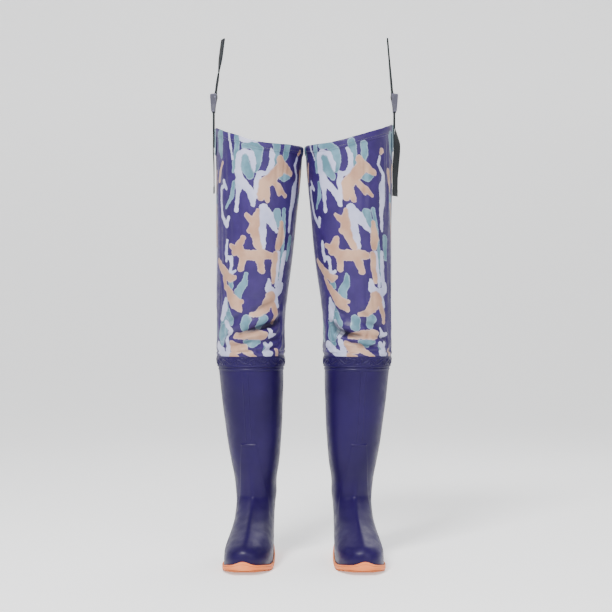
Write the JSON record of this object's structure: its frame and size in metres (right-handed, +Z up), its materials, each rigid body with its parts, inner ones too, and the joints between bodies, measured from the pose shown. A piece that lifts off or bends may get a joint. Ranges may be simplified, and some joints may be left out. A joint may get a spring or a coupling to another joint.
{
  "type": "hip waders",
  "caption": "Hip waders: moulded knee boots with contrasting grooved soles, coated camouflage fabric legs, and hip straps with adjusting buckles and belt loops",
  "frame": {"origin": "on the ground midway between the legs, at the middle of the pair's depth", "axes": "+Z up, toes towards -Y, the wearer's left leg towards +X"},
  "size_m": [0.3803, 0.318, 1.037],
  "materials": {
    "boot_pvc": "satin moulded PVC",
    "sole_pvc": "matt moulded PVC",
    "knit_lining": "brushed knit",
    "foam_insole": "cloth-faced foam",
    "camo_cloth": "PVC-coated, printed",
    "patch_cloth": "PVC-coated",
    "seam_tape": "welded tape",
    "webbing": "woven",
    "buckle_plastic": "moulded acetal"
  },
  "bodies": {
    "right_boot": {"right_outsole": "sole_pvc", "right_boot_shell": "boot_pvc", "right_boot_lining": "knit_lining", "right_insole": "foam_insole", "right_cuff_band": "boot_pvc", "right_knee_fabric": "camo_cloth", "right_knee_seam_tape": "seam_tape"},
    "right_thigh": {"right_thigh_fabric": "camo_cloth", "right_thigh_seam_tape": "seam_tape", "right_top_hem": "camo_cloth", "right_corner_patch": "patch_cloth", "right_strap_anchor": "webbing", "right_neck_inner_webbing": "webbing", "right_neck_outer_webbing": "webbing"},
    "right_buckle": {"right_strap_turn": "webbing", "right_ladder_lock": "buckle_plastic"},
    "right_loop": {"right_belt_loop": "webbing"},
    "right_tail": {"right_strap_tail": "webbing"},
    "left_boot": {"left_outsole": "sole_pvc", "left_boot_shell": "boot_pvc", "left_boot_lining": "knit_lining", "left_insole": "foam_insole", "left_cuff_band": "boot_pvc", "left_knee_fabric": "camo_cloth", "left_knee_seam_tape": "seam_tape"},
    "left_thigh": {"left_thigh_fabric": "camo_cloth", "left_thigh_seam_tape": "seam_tape", "left_top_hem": "camo_cloth", "left_corner_patch": "patch_cloth", "left_strap_anchor": "webbing", "left_neck_inner_webbing": "webbing", "left_neck_outer_webbing": "webbing"},
    "left_buckle": {"left_strap_turn": "webbing", "left_ladder_lock": "buckle_plastic"},
    "left_loop": {"left_belt_loop": "webbing"},
    "left_tail": {"left_strap_tail": "webbing"}
  },
  "joints": [
    {"name": "pair_apart", "type": "slide", "parent": "right_boot", "child": "left_boot", "axis": [1, 0, 0], "range_m": [0, 0.25]},
    {"name": "right_knee_fold", "type": "hinge", "parent": "right_boot", "child": "right_thigh", "pos_m": [-0.1067, 0.1337, 0.452], "axis": [-1, 0, 0], "range_deg": [0, 100]},
    {"name": "right_strap_adjust", "type": "slide", "parent": "right_thigh", "child": "right_buckle", "axis": [0, 0, 1], "range_m": [-0.01, 0.02], "deforming": ["right_neck_inner_webbing", "right_neck_outer_webbing"]},
    {"name": "right_loop_swing", "type": "hinge", "parent": "right_buckle", "child": "right_loop", "pos_m": [-0.17735, 0.0577, 0.9183], "axis": [0, 1, 0], "range_deg": [-90, 90]},
    {"name": "right_tail_swing", "type": "hinge", "parent": "right_thigh", "child": "right_tail", "pos_m": [-0.1825, 0.0577, 0.86115], "axis": [0, 1, 0], "range_deg": [0, 90]},
    {"name": "left_knee_fold", "type": "hinge", "parent": "left_boot", "child": "left_thigh", "pos_m": [0.1067, 0.1337, 0.452], "axis": [-1, 0, 0], "range_deg": [0, 100]},
    {"name": "left_strap_adjust", "type": "slide", "parent": "left_thigh", "child": "left_buckle", "axis": [0, 0, 1], "range_m": [-0.01, 0.02], "deforming": ["left_neck_inner_webbing", "left_neck_outer_webbing"]},
    {"name": "left_loop_swing", "type": "hinge", "parent": "left_buckle", "child": "left_loop", "pos_m": [0.17735, 0.0577, 0.9183], "axis": [0, 1, 0], "range_deg": [-90, 90]},
    {"name": "left_tail_swing", "type": "hinge", "parent": "left_thigh", "child": "left_tail", "pos_m": [0.1825, 0.0577, 0.86115], "axis": [0, -1, 0], "range_deg": [0, 90]}
  ]
}
